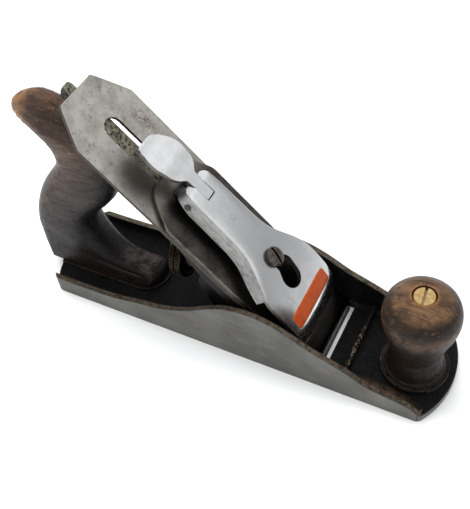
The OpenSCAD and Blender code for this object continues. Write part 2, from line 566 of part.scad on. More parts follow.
// Height of the top face, highest along the bar and rolled over at the nose.
top_rows = smooth([[nose_s, nose_low + 0.9], [nose_s + 1.2, nose_low + 3], [nose_s + 3.6, cap_top - 5.4],
    [nose_s + 7, cap_top - 3.3], [nose_s + 11, cap_top - 2.3], [nose_s + 20, cap_top - 1.2],
    [nose_s + 36, cap_top - 0.4], [nose_s + 55, cap_top], [cap_tail - 8, cap_top], [cap_tail - 3,
        cap_top - 0.4],
    [cap_tail, cap_top - 1.6]], 3);
// Half width of the top face.
half_rows = smooth([[nose_s, nose_half - 3.4], [nose_s + 2, nose_half - 2.2], [nose_s + 5.5, nose_half - 1],
    [nose_s + 11, nose_half - 0.2], [nose_s + 18, nose_half], [nose_s + 27, nose_half], [nose_s + 33,
        nose_half - 0.5],
    [nose_s + 38, nose_half - 1.9], [nose_s + 44, nose_half - 4.6], [nose_s + 50, bar_half + 5.4],
    [nose_s + 56, bar_half + 2.6], [nose_s + 63, bar_half + 0.8], [nose_s + 72, bar_half + 0.2],
    [cap_tail - 10, bar_half - 0.3], [cap_tail - 3, bar_half - 1], [cap_tail - 1, bar_half - 2],
        [cap_tail, bar_half - 3.6]], 2);
// Depth of the skirt below the top face: none on the nose, full along the bar.
skirt_s = nose_s + 36;
skirt_rows = [[skirt_s, 0], [skirt_s + 1.6, 7.2], [skirt_s + 12, 8.4], [cap_tail - 10, 8.6], [cap_tail, 6.6]];
skirt_flare = 2.2;
// Extra setback of the nose's corners, so that its lower edge bows out in the middle.
function nose_bow(y) = 2 * pow(y / nose_half, 2);
function cap_height(s, y) = at(top_rows, s - nose_bow(y));
function wall_at(s) = min(cap_wall, 0.5 + (s - nose_s) * 0.32);
cap_cuts = [-1, -0.94, -0.8, -0.5, 0, 0.5, 0.8, 0.94, 1];
function cap_ring(s) = let (a = at(half_rows, s), d = at(skirt_rows, s), w = wall_at(s),
    fl = skirt_flare * d / 8.6, in = a - (d > 0.5 ? cap_wall : 0.6), u = -d)
    concat(
        [for (c = cap_cuts) [s, c * a, cap_height(s, c * a) - 0.35 * pow(c, 8)]],
        [[s, a + fl, cap_height(s, a) + min(u, -w)], [s, in + fl * 0.8, cap_height(s, a) + min(u, -w)],
         [s, in - 0.7, cap_height(s, in) - w], [s, 0, cap_height(s, 0) - w], [s, 0.7 - in, cap_height(s,
             in) - w],
         [s, -in - fl * 0.8, cap_height(s, a) + min(u, -w)], [s, -a - fl, cap_height(s, a) + min(u, -w)]]);
cap_stations = concat([0, 0.6, 1.2, 2, 3, 4.2, 5.5, 7, 9, 11, 14, 18, 22, 27, 30, 33, 35.9, 36.3, 37.6, 40],
    [for (i = [1 : 12]) 40 + i * 2.4], [for (i = [1 : 8]) 68.8 + (cap_tail - nose_s - 79.8) * i / 8],
    [for (d = [8, 6, 4.5, 3, 2, 1, 0.4, 0]) cap_tail - nose_s - d]);
// Triangles that join n rings of m points. The faces in first and last close its two ends.
function ring_faces(n, m, first, last) = concat(
    [for (i = [0 : n - 2]) for (j = [0 : m - 1]) let (k = (j + 1) % m) each
        [[i * m + j, i * m + k, (i + 1) * m + k], [i * m + j, (i + 1) * m + k, (i + 1) * m + j]]],
    [for (f = first) [for (i = [len(f) - 1 : -1 : 0]) f[i]]],
    [for (f = last) [for (j = f) (n - 1) * m + j]]);
module ring_loft(rings, first, last) polyhedron(points = [for (r = rings) each r],
    faces = ring_faces(len(rings), len(rings[0]), first, last), convexity = 8);
// The end of the lever cap's section: the right skirt, strips across the wall, then the left skirt.
cap_lid = [[8, 9, 10], [8, 10, 11], [7, 8, 11], [6, 7, 11], [5, 6, 11], [5, 11, 12], [4, 5, 12], [3, 4, 12],
    [3, 12, 13], [2, 3, 13], [1, 2, 13], [0, 1, 13], [0, 13, 14], [0, 14, 15]];

cam_slot_w = 7;
cam_slot_r = 7.8;
// The hole is a large round end joined to a narrow one, with its outer side swollen.
module kidney() linear_extrude(40, center = true) {
    hull() {
        translate([lever_screw_s - 14.5, 0]) circle(r = kidney_r);
        translate([lever_screw_s - 8.5, -2.2]) circle(r = kidney_r - 1.1);
    }
    hull() {
        translate([lever_screw_s - 8.5, -2.2]) circle(r = kidney_r - 1.1);
        translate([lever_screw_s, 0]) circle(r = lever_screw_d / 2 + 0.5);
    }
    hull() {
        translate([lever_screw_s - 14.5, 0]) circle(r = lever_screw_d / 2 + 0.5);
        translate([lever_screw_s, 0]) circle(r = lever_screw_d / 2 + 0.5);
    }
}
module lever_cap() color("#d2d2cf") on_bed() difference() {
    union() {
        ring_loft([for (s = cap_stations) cap_ring(nose_s + s)], cap_lid, cap_lid);
        for (y = [-1, 1]) across(bar_half - cam_slot_w / 2 - 1, y * (bar_half + cam_slot_w / 2 - 1) / 2)
            polygon([[cam_s - 7, cam_h - 2.6], [cap_tail - 2.2, cam_h - 2.6], [cap_tail - 2.2, cap_top - 2],
                [cam_s - 9, cap_top - 2]]);
        translate([rivet_s, 0, spring_top]) cylinder(d = 9, h = 2);
    }
    kidney();
    translate([cam_s - 4, -cam_slot_w / 2, cam_h]) cube([20, cam_slot_w, 20]);
    cross_bar(cam_s, cam_h, cam_slot_r, cam_slot_w);
    translate([cam_s, -cam_slot_w / 2, -1]) cube([20, cam_slot_w, 20]);
    cross_bar(cam_s, cam_h, cam_pin_d / 2, 60);
    translate([rivet_s, 0, 0]) cylinder(d = rivet_d + 2 * run_gap, h = spring_top + 4);
}
module cam_pin() color("#9a978f") on_bed() cross_bar(cam_s, cam_h, cam_pin_d / 2 - run_gap / 2,
    2 * bar_half + 1.2);

// Cam lever: an off-centre round cam on the pin, a neck in the slot and a leaf-shaped thumb pad.
cam_off = 1.4;
cam_r = cam_h - cam_off - cap_iron_t - 1.2;
pad_end = cam_s + pad_reach;
pad_t = 2.6;
module cam_lever() color("#dcdcd8") on_bed() difference() {
    union() {
        cross_bar(cam_s, cam_h - cam_off, cam_r, cam_slot_w - 2 * free_gap);
        across(cam_slot_w - 2 * free_gap) polygon([[cam_s - 4.9, cap_top - 0.2], [cam_s - 4.9, cam_h + 1],
            [cam_s + 4, cam_h - 0.5], [cam_s + 8.4, cap_top - pad_t - 0.6], [cam_s + 12.5, cap_top - pad_t],
            [cam_s + 12.5, cap_top - 0.2]]);
        intersection() {
            translate([0, 0, cap_top - 9]) linear_extrude(20) pad_plan();
            across(2 * pad_half + 2) polygon(pad_side);
        }
    }
    cross_bar(cam_s, cam_h, cam_pin_d / 2 + run_gap / 2, 20);
}
pad_top = smooth([[cam_s + 4, cap_top - 0.2], [cam_s + 14, cap_top - 0.2], [cam_s + 22, cap_top + 0.3],
    [pad_end - 6, cap_top + 0.1], [pad_end - 1.5, cap_top - 0.8], [pad_end, cap_top - 1.8]], 4);
pad_side = concat(pad_top, [for (i = [len(pad_top) - 1 : -1 : 0]) [pad_top[i][0],
    pad_top[i][1] - pad_t * (i < len(pad_top) - 1 ? 1 : 0.5)]]);
pad_rows = smooth([[cam_s + 8.2, 3.3], [cam_s + 10, 4], [cam_s + 12, 5.6], [cam_s + 15, 7.6], [cam_s + 19,
    pad_half - 0.5],
    [cam_s + 24, pad_half], [pad_end - 8, pad_half - 0.8], [pad_end - 4, pad_half - 2.6], [pad_end - 1.4,
        pad_half - 5.2],
    [pad_end, pad_half - 8]], 3);
module pad_plan() polygon(concat([for (p = pad_rows) [p[0], p[1]]], mirrored(pad_rows)));

// The leaf spring riveted under the bar: it runs down to lie on the cap iron below the cam.
rivet_s = cam_s - 21;
rivet_d = 3.2;
spring_t = 0.8;
spring_top = cap_top - cap_wall - 0.6;
spring_low = cap_iron_t + 0.15;
spring_line = concat([[rivet_s - 5.5, spring_top - spring_t]], smooth([[rivet_s + 4.8, spring_top - spring_t],
    [rivet_s + 8.5, spring_top - spring_t - 1.6], [rivet_s + 13, spring_low + 2.4],
    [rivet_s + 18, spring_low + 0.2], [cam_s + 3, spring_low], [cam_s + 8, spring_low + 0.4]], 3));
module lever_cap_spring() color("#5b5f66") on_bed() difference() {
    across(12) polygon(concat([for (p = spring_line) [p[0] + 0.25, p[1] + spring_t]],
        [for (i = [len(spring_line) - 1 : -1 : 0]) spring_line[i]]));
    translate([rivet_s, 0, 0]) cylinder(d = rivet_d + 2 * run_gap, h = 40);
}
module spring_rivet() color("#9a978f") on_bed() translate([rivet_s, 0, 0]) union() {
    translate([0, 0, spring_top - spring_t]) cylinder(d = rivet_d, h = at(top_rows,
        rivet_s) - spring_top + spring_t);
    translate([0, 0, spring_top - spring_t]) rotate([180, 0, 0]) slotted_head(6, 1.2);
}
module lever_cap_screw() color("#4c4a47") on_bed() translate([lever_screw_s, 0, 0]) difference() {
    union() {
        translate([0, 0, -14]) cylinder(d = lever_screw_d, h = cap_top + 14);
        translate([0, 0, cap_top]) slotted_head(lever_screw_head_d, 3.4);
    }
    translate([0, 0, cap_top + 3]) rotate(-16) cube([20, 1.7, 3], center = true);
}

// Side views of the tote's front and back as [x from the heel, z, rounding radius]. Row for row they
// are the two ends of one section: from the foot, up the grip and over the horn to its tip.
tr = grip_r;
tote_front = [[69, 6.5, 11], [69.2, 9.2, 9.6], [67.7, 12.5, 6], [63.6, 15, 4.6], [56.5, 16.1, 4.4],
    [47.4, 17.4, 4.8], [38.9, 22, 7], [32, 30.8, tr - 0.6], [27.6, 41.9, tr], [30.3, 49.7, tr],
    [37.6, 57.9, tr], [46.4, 67.5, tr], [51.9, 79.4, tr], [54.4, 91.8, tr], [53.2, 104, tr - 1],
    [46.8, 114.6, tr - 0.3], [37.2, 123.3, tr - 0.1], [23.8, 129.6, tr], [11.4, 131.9, tr - 1.3],
    [2.3, 129.4, tr - 1.3], [-4.4, 124.9, tr - 2.6], [-6.2, 119.1, tr - 3.3]];
tote_back = [[-6.4, 6.5, 0.6], [-7.9, 9.5, 2.4], [-9.3, 12.5, 4.4], [-10.4, 15.5, 5.8], [-11.6, 19.5, 7.2],
    [-12.2, 24.5, tr - 1], [-12.5, 29.5, tr - 0.4], [-12.5, 35.8, tr], [-10.9, 42.8, tr], [-8.6, 50.4, tr],
    [-3.4, 61.3, tr], [3.8, 73.1, tr], [12, 83.3, tr], [17.1, 92.8, tr], [15.5, 101.5, tr],
    [11.5, 106.9, tr - 0.3], [7.7, 109, tr - 0.1], [4.4, 110.3, tr], [1.6, 111.4, tr - 1.3],
    [-0.6, 112.8, tr - 1.3], [-2.8, 113.6, tr - 2.6], [-4, 115.4, tr - 3.3]];
function from_heel(rows) = [for (p = smooth(rows, 2))
    [p[0] * tote_k - sole_l / 2, p[1] - 6.5 + tote_seat_z, p[2]]];
front_curve = from_heel(tote_front);
back_curve = from_heel(tote_back);
function side_normal(curve, i) = let (a = curve[max(i - 1, 0)], b = curve[min(i + 1, len(curve) - 1)],
    t = [b[0] - a[0], b[1] - a[1]] / norm([b[0] - a[0], b[1] - a[1]])) i == 0 ? [1, 0] : [t[1], -t[0]];
// Half thickness of section i: both sides draw in towards the horn's tip.
tip_rows = [[30, 0], [34, 1.8], [38, 3.6], [42, 5.6]];
function tote_half(i) = tote_t / 2 - at(tip_rows, i);
// How far the sides draw in towards the top of the foot, at the front end of section i.
foot_rows = [[0, 0], [2, 0.2], [4, 1], [6, 2.2], [8, 3], [10, 3], [12, 1.8], [14, 0.5], [16, 0]];
// A point of the rounding at angle f from the outline: 0 on the outline, 90 or -90 on a side.
function rounded(p, m, f, half) = let (r = min(p[2], half - 0.4), d = r * (1 - cos(f)),
    y = half - r + r * abs(sin(f)))
    [p[0] - m[0] * d, sign(f) * y, max(p[1] - m[1] * d, tote_seat_z)];
// A point on the side between two rounding ends, crowned by tote_crown in the middle.
tote_crown = 0.6;
function side_point(a, b, w) = a + (b - a) * w + [0, sign(a[1]) * tote_crown * 4 * w * (1 - w), 0];
tote_turns = [-90, -67, -44, -20, 0, 20, 44, 67, 90];
tote_shares = [0.25, 0.5, 0.75];
function tote_ring(i) = let (mf = side_normal(front_curve, i), mb = -side_normal(back_curve, i),
    front = [for (f = tote_turns) rounded(front_curve[i], mf, f, tote_half(i) - at(foot_rows, i))],
    back = [for (f = tote_turns) rounded(back_curve[i], mb, -f, tote_half(i))])
    concat(front, [for (w = tote_shares) side_point(front[8], back[0], w)],
        back, [for (w = tote_shares) side_point(back[8], front[0], w)]);
tote_rings = [for (i = [0 : len(front_curve) - 1]) tote_ring(i)];
// The foot's face as one outline, and the horn's tip as strips between its two roundings.
tote_foot = [[for (j = [0 : 23]) j]];
tote_tip = concat([for (j = [0 : 7]) each [[j, j + 1, 19 - j], [j, 19 - j, 20 - j]]],
    [[8, 9, 12], [9, 11, 12], [9, 10, 11], [0, 20, 23], [20, 21, 23], [21, 22, 23]]);
nut_head_t = 3.2;
nut_shank_d = 8;
tote_nut_at = 115.6 * sin(drawn_lean) / sin(tote_lean);
module tote() color("#4a2f22") difference() {
    ring_loft(tote_rings, tote_foot, tote_tip);
    along_tote_bolt() {
        translate([0, 0, -2]) cylinder(d = rod_d + 2 * free_gap, h = 140);
        translate([0, 0, tote_nut_at - 20]) cylinder(d = nut_shank_d + 2 * free_gap, h = 60);
        translate([0, 0, tote_nut_at - nut_head_t]) cylinder(d = nut_d + 2 * free_gap, h = 60);
    }
}
module tote_bolt() color("#77736b") along_tote_bolt() translate([0, 0, -3.6]) cylinder(d = rod_d,
    h = tote_nut_at - 4);
// A slotted brass nut: a head with a sleeve that reaches down over the bolt's thread.
module barrel_nut(rod_end) difference() {
    union() {
        translate([0, 0, -nut_head_t]) cylinder(d = nut_d, h = nut_head_t - 0.5);
        translate([0, 0, -0.5]) cylinder(d1 = nut_d, d2 = nut_d - 1.4, h = 0.5);
        translate([0, 0, -19]) cylinder(d = nut_shank_d, h = 17);
    }
    translate([0, 0, -20]) cylinder(d = rod_d + 2 * run_gap, h = 20 - rod_end);
    rotate(96) cube([20, 1.5, 3.2], center = true);
}
module tote_nut() color("#b08d4f") along_tote_bolt() translate([0, 0, tote_nut_at]) barrel_nut(7);

// Half section of the knob: a foot, a waist and a ball that is a little flat on top.
knob_side = smooth([[knob_foot_d / 2, knob_seat_z], [knob_foot_d / 2, knob_seat_z + 2.6],
    [knob_foot_d / 2 - 1.3, knob_seat_z + 4],
    [knob_foot_d / 2 - 1.5, knob_seat_z + 8], [knob_foot_d / 2 - 2.6, knob_seat_z + 13],
        [knob_foot_d / 2 - 3.2, knob_seat_z + 17],
    [ball_d / 2 - 4.9, knob_z - 36], [ball_d / 2 - 3, knob_z - 29], [ball_d / 2 - 0.9, knob_z - 22.5],
    [ball_d / 2, knob_z - 15.5], [ball_d / 2 - 1.2, knob_z - 9], [ball_d / 2 - 4.5, knob_z - 4.4],
    [ball_d / 2 - 9.1, knob_z - 1.5],
    [nut_d / 2 + free_gap, knob_z]], 4);
module knob() color("#4f3020") translate([knob_x, 0, 0]) difference() {
    rotate_extrude($fn = 96) polygon(concat(knob_side, [[0, knob_z], [0, knob_seat_z]]));
    cylinder(d = rod_d + 2 * free_gap, h = 100);
    translate([0, 0, knob_z - 21]) cylinder(d = nut_shank_d + 2 * free_gap, h = 60);
    translate([0, 0, knob_z - nut_head_t - 0.4]) cylinder(d = nut_d + 2 * free_gap, h = 60);
}
module knob_bolt() color("#77736b") translate([knob_x, 0, 1.4]) cylinder(d = rod_d, h = knob_z - 9);
module knob_nut() color("#b08d4f") translate([knob_x, 0, knob_z - 0.4]) barrel_nut(7);

body();
frog();
frog_bolts();
frog_washers();
frog_shift_screw();
frog_clip();
frog_clip_screw();
y_lever();
y_lever_pin();
adjust_stud();
depth_wheel();
lateral_lever();
lateral_pin();
lateral_disc();
cutter();
cap_iron();
cap_iron_screw();
lever_cap();
cam_lever();
cam_pin();
lever_cap_spring();
spring_rivet();
lever_cap_screw();
tote();
tote_bolt();
tote_nut();
knob();
knob_bolt();
knob_nut();
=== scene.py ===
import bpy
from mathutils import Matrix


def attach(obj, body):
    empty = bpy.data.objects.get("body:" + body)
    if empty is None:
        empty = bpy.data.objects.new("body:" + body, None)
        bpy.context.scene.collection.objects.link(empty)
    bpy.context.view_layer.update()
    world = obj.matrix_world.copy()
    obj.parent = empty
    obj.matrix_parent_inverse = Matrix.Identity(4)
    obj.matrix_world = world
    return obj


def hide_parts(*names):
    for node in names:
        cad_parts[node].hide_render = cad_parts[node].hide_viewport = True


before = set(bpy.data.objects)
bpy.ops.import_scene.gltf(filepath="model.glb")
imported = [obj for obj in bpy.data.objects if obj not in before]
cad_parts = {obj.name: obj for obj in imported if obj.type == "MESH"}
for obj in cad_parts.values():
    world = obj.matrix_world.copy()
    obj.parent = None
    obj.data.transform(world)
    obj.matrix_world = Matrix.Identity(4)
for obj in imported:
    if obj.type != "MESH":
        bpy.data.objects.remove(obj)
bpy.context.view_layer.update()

import bpy
import numpy as np
from mathutils import Euler

# Camera
# It looks down on the -Y cheek from beside the toe. Its lens, place and angles come from fitting the
# straight edges of the cheeks and the cutter and the rim of the depth wheel to the photograph.
lens = bpy.data.cameras.new("camera")
lens.lens = 58.011
lens.sensor_width = 36
camera = bpy.data.objects.new("camera", lens)
camera.location = (0.152621, -0.250247, 0.388736)
camera.rotation_euler = Euler(np.radians((40.81353, 4.68902, 26.53788)).tolist())
bpy.context.scene.collection.objects.link(camera)
bpy.context.scene.camera = camera
bpy.context.scene.view_settings.view_transform = "Standard"


# Floor and light
# The tool stands on a wide pale sheet of matt paper, in a white room with a grey band low on its walls.
# One big soft panel hangs over it and two small ones stand in front and to the left.
def put(tree, kind, inputs=None, **settings):
    """Adds one shader node. inputs maps a socket's name or number to a value or another node's socket."""
    node = tree.nodes.new("ShaderNode" + kind)
    for name, value in settings.items():
        setattr(node, name, value)
    for name, value in (inputs or {}).items():
        if isinstance(value, bpy.types.NodeSocket):
            tree.links.new(value, node.inputs[name])
        else:
            node.inputs[name].default_value = value
    return node


def mixed(tree, share, first, second):
    """Colour that goes from first to second as share goes from 0 to 1."""
    return put(tree, "Mix", {0: share, 6: first, 7: second}, data_type="RGBA").outputs[2]


def between(tree, value, low, high, out_low=0.0, out_high=1.0):
    """Smooth step of value from out_low at low to out_high at high."""
    limits = {"Value": value, "From Min": low, "From Max": high, "To Min": out_low, "To Max": out_high}
    return put(tree, "MapRange", limits, interpolation_type="SMOOTHSTEP").outputs[0]


def calc(tree, how, first, second=0.0):
    """Result of one step of arithmetic on two values."""
    return put(tree, "Math", {0: first, 1: second}, operation=how).outputs[0]


def plus(tree, first, second):
    """Sum of two values."""
    return calc(tree, "ADD", first, second)


def times(tree, first, second):
    """Product of two values."""
    return calc(tree, "MULTIPLY", first, second)


def axes(tree, vector):
    """The x, y and z of a vector socket, as three sockets."""
    return tuple(put(tree, "SeparateXYZ", {0: vector}).outputs)


def cloud(tree, place, scale, detail=4.0, rough=0.55, stretch=(1, 1, 1), twist=0.0):
    """Soft noise of scale bumps a metre at place, with detail finer layers of bumps, each the share rough
    as high as the one before. A small stretch draws it out along an axis, and twist curls it."""
    spot = put(tree, "Mapping", {"Vector": place, "Scale": stretch}).outputs[0]
    values = {"Vector": spot, "Scale": scale, "Detail": detail, "Roughness": rough, "Distortion": twist}
    return put(tree, "TexNoise", values).outputs[0]


def finish_for(name):
    """A new material with its tree and Principled shader, and sockets for place and facing on a piece."""
    material = bpy.data.materials.new(name)
    material.use_nodes = True
    tree = material.node_tree
    coords = put(tree, "TexCoord")
    return material, tree, tree.nodes["Principled BSDF"], coords.outputs["Object"], coords.outputs["Normal"]


def shade_in(tree, shader, **sockets):
    """Links or sets the shader's sockets. A name's underscores stand for spaces."""
    for name, value in sockets.items():
        socket = shader.inputs[name.replace("_", " ")]
        if isinstance(value, bpy.types.NodeSocket):
            tree.links.new(value, socket)
        else:
            socket.default_value = value


def shell(name, points, faces, material, body, smooth=35):
    """A mesh object from arrays of points in metres and of faces, riding on body. Where its faces meet at
    under smooth degrees, it is shaded smooth."""
    mesh = bpy.data.meshes.new(name)
    mesh.from_pydata(points.tolist(), [], faces.tolist())
    mesh.shade_smooth()
    mesh.set_sharp_from_angle(angle=np.radians(smooth))
    mesh.materials.append(material)
    piece = bpy.data.objects.new(name, mesh)
    bpy.context.scene.collection.objects.link(piece)
    if body:
        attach(piece, body)
    return piece


def strip_faces(rows, columns, closed=False):
    """Quads that join a grid of points, numbered row by row. closed joins the last column to the first."""
    last = columns if closed else columns - 1
    i, j = np.meshgrid(np.arange(rows - 1), np.arange(last), indexing="ij")
    k = (j + 1) % columns
    corners = (i * columns + j, i * columns + k, (i + 1) * columns + k, (i + 1) * columns + j)
    return np.stack(corners, -1).reshape(-1, 4)


sheet_half = 4
sheet_z = -0.00004
sheet_rows = 9

paper, tree, shader, place, _ = finish_for("paper")
drift = mixed(tree, cloud(tree, place, 3), (0.88, 0.88, 0.878, 1), (0.91, 0.91, 0.908, 1))
shade_in(tree, shader, Base_Color=drift, Roughness=0.9)
line = np.linspace(-sheet_half, sheet_half, sheet_rows)
sheet_points = np.stack(np.broadcast_arrays(line[None, :], line[:, None], sheet_z), -1).reshape(-1, 3)
sheet = shell("floor_sheet", sheet_points, strip_faces(sheet_rows, sheet_rows), paper, None)

# The walls' tone follows the upward part of the line of sight, 0 for level and 1 for straight up. It is
# pale at the floor and falls to the grey band, then rises to white, and falls a little overhead. The
# camera itself sees an even near-white.
grey_fall = (0.04, 0.345)
white_rise = (0.348, 0.394)
bright_rise = (0.42, 0.57)
overhead_fall = (0.7, 0.88)
backdrop = 0.85

world = bpy.data.worlds.new("room")
bpy.context.scene.world = world
world.use_nodes = True
room = world.node_tree
up = axes(room, put(room, "TexCoord").outputs["Generated"])[2]
grey = between(room, up, *grey_fall, 0.92, 0.36)
white = plus(room, between(room, up, *white_rise, 0.34, 0.98), between(room, up, *bright_rise, 0, 0.22))
white = calc(room, "SUBTRACT", white, between(room, up, *overhead_fall, 0, 0.3))
tone = calc(room, "MAXIMUM", grey, white)
tone = between(room, put(room, "LightPath").outputs["Is Camera Ray"], 0, 1, tone, backdrop)
room.links.new(tone, room.nodes["Background"].inputs["Strength"])
room.nodes["Background"].inputs["Color"].default_value = (0.96, 0.98, 1.0, 1)


def panel(name, where, aim, wide, tall, power):
    """A soft rectangular light at where that faces aim. It lights the tool but isn't mirrored in it."""
    lamp = bpy.data.lights.new(name, "AREA")
    lamp.shape = "RECTANGLE"
    lamp.size = wide
    lamp.size_y = tall
    lamp.energy = power
    holder = bpy.data.objects.new(name, lamp)
    holder.location = where
    holder.visible_glossy = False
    away = np.array(where, float) - np.array(aim, float)
    flat = np.hypot(away[0], away[1])
    holder.rotation_euler = (np.arctan2(flat, away[2]), 0, np.arctan2(away[1], away[0]) + np.pi / 2)
    bpy.context.scene.collection.objects.link(holder)


panel("overhead_panel", (-0.35, 0.3, 1.1), aim=(0, 0, 0.03), wide=0.9, tall=0.9, power=13)
panel("front_panel", (0.3, -1.1, 0.9), aim=(0, 0, 0.04), wide=0.8, tall=0.5, power=3)
panel("left_panel", (-0.8, -0.7, 0.45), aim=(0, 0, 0.05), wide=0.5, tall=0.5, power=2)


# Body
# One grey iron casting: floor, cheeks, seats, rib and mouth. The sole, the cheeks' outsides and both ends
# are ground and have gone dull grey, and the cheeks' tops are rubbed brown. The inside is japanned black
# over the cast skin, rubbed through along the near side of the toe and chipped on the rib.
def seen(r, g, b):
    """Linear colour of an 8-bit display colour: a channel c becomes ((c / 255 + 0.055) / 1.055) ** 2.4."""
    return [*(((np.array((r, g, b)) / 255 + 0.055) / 1.055) ** 2.4).tolist(), 1.0]


def tint(tree, base, share, colour, most=None):
    """Colour base covered by colour as far as share, or as far as share times most."""
    if most:
        share = times(tree, share, most)
    return mixed(tree, share, base, colour)


def near(tree, place, centre, reach, squash):
    """Share that falls from 1 close to centre to 0 at reach from it, in metres, each axis first scaled by
    squash."""
    core = 0.15
    gap = put(tree, "VectorMath", {0: place, 1: centre}, operation="SUBTRACT").outputs[0]
    gap = put(tree, "VectorMath", {0: gap, 1: squash}, operation="MULTIPLY").outputs[0]
    far = put(tree, "VectorMath", {0: gap}, operation="LENGTH").outputs[1]
    return between(tree, far, reach, reach * core)


def worn_edges_group():
    """Two shares of what long use does, from the piece's own shape broken up by noise. Rub is how thin the
    solid is within Reach behind the surface, which is high on outer edges, where use rubs metal and wood
    bare. Dirt is how closed-in the space is within Reach times Spread in front, where dark dirt packs."""
    group = bpy.data.node_groups.new("worn_edges", "ShaderNodeTree")
    for name in ("Reach", "Spread", "Breakup"):
        group.interface.new_socket(name, in_out="INPUT", socket_type="NodeSocketFloat")
    group.interface.new_socket("Place", in_out="INPUT", socket_type="NodeSocketVector")
    group.interface.new_socket("Rub", in_out="OUTPUT", socket_type="NodeSocketFloat")
    group.interface.new_socket("Dirt", in_out="OUTPUT", socket_type="NodeSocketFloat")
    given = group.nodes.new("NodeGroupInput").outputs
    result = group.nodes.new("NodeGroupOutput").inputs
    behind = {"Distance": given["Reach"]}
    inner = put(group, "AmbientOcclusion", behind, samples=6, inside=True, only_local=True).outputs["AO"]
    in_front = {"Distance": times(group, given["Reach"], given["Spread"])}
    outer = put(group, "AmbientOcclusion", in_front, samples=6).outputs["AO"]
    noise = {"Vector": given["Place"], "Scale": given["Breakup"], "Detail": 5.0, "Roughness": 0.65}
    patch = put(group, "TexNoise", noise).outputs[0]
    rub = times(group, between(group, inner, 0.93, 0.55), between(group, patch, 0.3, 0.62))
    dirt = times(group, between(group, outer, 0.9, 0.35), between(group, patch, 0.1, 0.6, 0.5, 1.0))
    group.links.new(rub, result["Rub"])
    group.links.new(dirt, result["Dirt"])
    return group


worn_edges = worn_edges_group()


def wear(tree, place, reach, spread=4.0, breakup=350.0):
    """The rub and dirt shares of worn_edges, placed in one material."""
    values = {"Reach": reach, "Spread": spread, "Breakup": breakup, "Place": place}
    node = put(tree, "Group", values, node_tree=worn_edges)
    return node.outputs["Rub"], node.outputs["Dirt"]


def roughen(tree, shader, height, depth):
    """Feeds a height into the shader's normal as bumps that many metres deep."""
    bump = put(tree, "Bump", {"Height": height, "Distance": depth, "Strength": 1.0})
    tree.links.new(bump.outputs[0], shader.inputs["Normal"])


def dress(material, *nodes):
    """Gives a material to CAD nodes whose own shape is kept."""
    for node in nodes:
        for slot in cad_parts[node].material_slots:
            slot.material = material


cheek_y = 0.03
inner_y = 0.027
soft_border = 0.0005
end_x = 0.1136
hair = 0.0001
near_toe = (0.083, -0.0265, 0.005)
rib_top = (0.0694, -0.008, 0.008)

body_iron, tree, shader, place, facing = finish_for("body_iron")
x, y, z = axes(tree, place)
facing_x, _, facing_z = axes(tree, facing)
from_middle = calc(tree, "ABSOLUTE", y)
outside = between(tree, from_middle, cheek_y - hair, cheek_y + hair)
at_end = between(tree, calc(tree, "ABSOLUTE", x), end_x - hair, end_x + hair)
end_on = times(tree, at_end, between(tree, calc(tree, "ABSOLUTE", facing_x), 0.3, 0.4))
ground = calc(tree, "MAXIMUM", outside, end_on)
ground = calc(tree, "MAXIMUM", ground, between(tree, z, 2 * hair, hair))
on_cheek = between(tree, from_middle, inner_y, inner_y + soft_border)
on_top = times(tree, on_cheek, between(tree, facing_z, 0.25, 0.4))

lines = cloud(tree, place, 1400, 3, 0.6, stretch=(0.06, 1, 1))
patches = cloud(tree, place, 38, 6, 0.62)
pits = between(tree, cloud(tree, place, 520, 4, 0.75), 0.62, 0.7)
iron = mixed(tree, between(tree, patches, 0.32, 0.68), seen(110, 109, 105), seen(90, 89, 85))
iron = tint(tree, iron, between(tree, lines, 0.4, 0.7, 0, 0.5), seen(122, 120, 115))
iron = tint(tree, iron, pits, seen(62, 58, 52), most=0.55)
handled = between(tree, cloud(tree, place, 420, 5, 0.72), 0.35, 0.62)
brown = mixed(tree, handled, seen(56, 48, 41), seen(98, 88, 76))

specks = between(tree, cloud(tree, place, 900, 3, 0.6), 0.7, 0.74)
bald = between(tree, cloud(tree, place, 260, 6, 0.72), 0.38, 0.56, 0.3, 1.6)
bald = times(tree, near(tree, place, near_toe, reach=0.036, squash=(1, 3.6, 1)), bald)
chipped = between(tree, cloud(tree, place, 620, 5, 0.7), 0.54, 0.64, 0, 1.3)
chipped = times(tree, near(tree, place, rib_top, reach=0.024, squash=(9, 1, 5)), chipped)
rub, _ = wear(tree, place, reach=0.0009)
matt = between(tree, cloud(tree, place, 120, 4, 0.6), 0.3, 0.7)
japan = mixed(tree, matt, seen(7, 7, 8), seen(14, 13, 13))
japan = tint(tree, japan, specks, seen(98, 84, 70), most=0.6)
japan = tint(tree, japan, bald, seen(84, 66, 50))
japan = tint(tree, japan, chipped, seen(168, 150, 124))
japan = tint(tree, japan, rub, seen(84, 70, 58), most=0.7)

tone = mixed(tree, ground, mixed(tree, on_top, japan, brown), iron)
bare = calc(tree, "MAXIMUM", ground, times(tree, on_top, 0.6))
gloss = plus(tree, between(tree, ground, 0, 1, 0.34, 0.4), times(tree, patches, 0.14))
shade_in(tree, shader, Base_Color=tone, Metallic=bare, Roughness=gloss, Specular_IOR_Level=0.13)
grit = between(tree, cloud(tree, place, 1500, 2, 0.5), 0.5, 0.7, 0, 0.6)
skin = plus(tree, cloud(tree, place, 620, 4, 0.62), grit)
roughen(tree, shader, times(tree, skin, between(tree, bare, 0, 1, 1.0, 0.04)), depth=0.0006)
dress(body_iron, "body")


